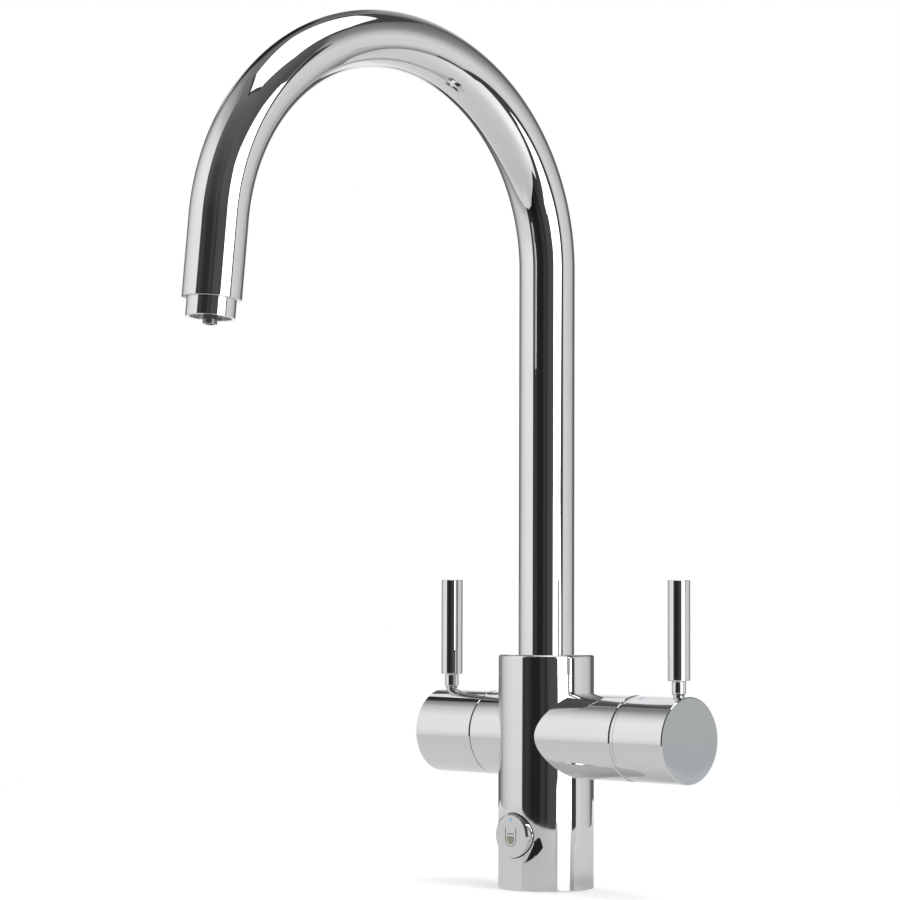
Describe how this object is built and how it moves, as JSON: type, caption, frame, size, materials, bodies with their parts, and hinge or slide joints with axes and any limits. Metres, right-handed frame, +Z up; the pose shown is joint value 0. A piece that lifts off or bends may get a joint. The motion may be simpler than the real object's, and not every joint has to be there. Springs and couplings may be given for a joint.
{
  "type": "boiling water tap",
  "caption": "Deck-mounted chrome kitchen tap with a tall swivelling swan-neck spout, side lever handles for mains and filtered water and a push button for near-boiling water.",
  "frame": {"origin": "centre of the base on the worktop, at the mouth of the fixing shank's thread", "axes": "+Z up along the body; -Y forwards, towards the user and the button; +X to the user's right, along the longer arm"},
  "size_m": [0.1552, 0.2346, 0.4011],
  "materials": {
    "chrome": "polished bright chrome plate on brass",
    "brass": "turned, bare",
    "steel": "stainless",
    "rubber": "EPDM, black",
    "white_plastic": "food-safe polymer, natural white",
    "grey_plastic": "dark grey polymer",
    "cartridge_plastic": "moulded acetal",
    "ceramic": "lapped alumina",
    "board": "green board",
    "clear_blue": "clear blue light guide",
    "sign_enamel": "filled engraving, beige brown",
    "index_enamel": "blue enamel"
  },
  "bodies": {
    "tap_body": {"body": "chrome", "base_seal": "rubber", "slip_washer": "white_plastic", "spout_keeper_screw": "steel", "left_cartridge": "cartridge_plastic", "left_fixed_disc": "ceramic", "left_seat_rings": "rubber", "left_clamp_nut": "brass", "right_cartridge": "cartridge_plastic", "right_fixed_disc": "ceramic", "right_seat_rings": "rubber", "right_clamp_nut": "brass", "right_trim_ring": "chrome", "button_gasket": "rubber", "button_spring": "steel", "switch_carrier": "grey_plastic", "circuit_board": "board", "push_switch": "grey_plastic", "indicator_lamp": "clear_blue", "cable_socket": "white_plastic", "carrier_screw": "steel"},
    "spout": {"spout_tube": "chrome", "swivel_stem": "brass", "swivel_rings": "rubber", "inner_tube": "white_plastic", "inner_tube_plug": "brass", "plug_ring": "rubber", "outlet_bush": "brass", "outlet_ring": "chrome", "outlet_gasket": "rubber", "aerator": "grey_plastic", "hot_nozzle": "grey_plastic"},
    "left_handle": {"left_turning_disc": "ceramic", "left_spindle": "brass", "left_spindle_ring": "rubber", "left_cap": "chrome", "left_lever": "chrome", "left_grub_screw": "steel"},
    "right_handle": {"right_turning_disc": "ceramic", "right_spindle": "brass", "right_spindle_ring": "rubber", "right_cap": "chrome", "right_lever": "chrome", "right_grub_screw": "steel", "right_index": "index_enamel"},
    "button": {"button_cap": "chrome", "button_sign": "sign_enamel", "button_light": "clear_blue"}
  },
  "joints": [
    {"name": "spout_swivel", "type": "hinge", "parent": "tap_body", "child": "spout", "pos_m": [0, 0, 0.1], "axis": [0, 0, 1], "range_deg": [-66.5, 73.5]},
    {"name": "left_handle_turn", "type": "hinge", "parent": "tap_body", "child": "left_handle", "pos_m": [-0.04, 0, 0.0716], "axis": [1, 0, 0], "range_deg": [0, 100]},
    {"name": "right_handle_turn", "type": "hinge", "parent": "tap_body", "child": "right_handle", "pos_m": [0.065, 0, 0.0716], "axis": [1, 0, 0], "range_deg": [0, 100]},
    {"name": "button_press", "type": "slide", "parent": "tap_body", "child": "button", "axis": [0, 1, 0], "range_m": [0, 0.0012], "stiffness_N_per_m": 500, "springref_m": -0.002, "deforming": ["button_spring"]}
  ]
}
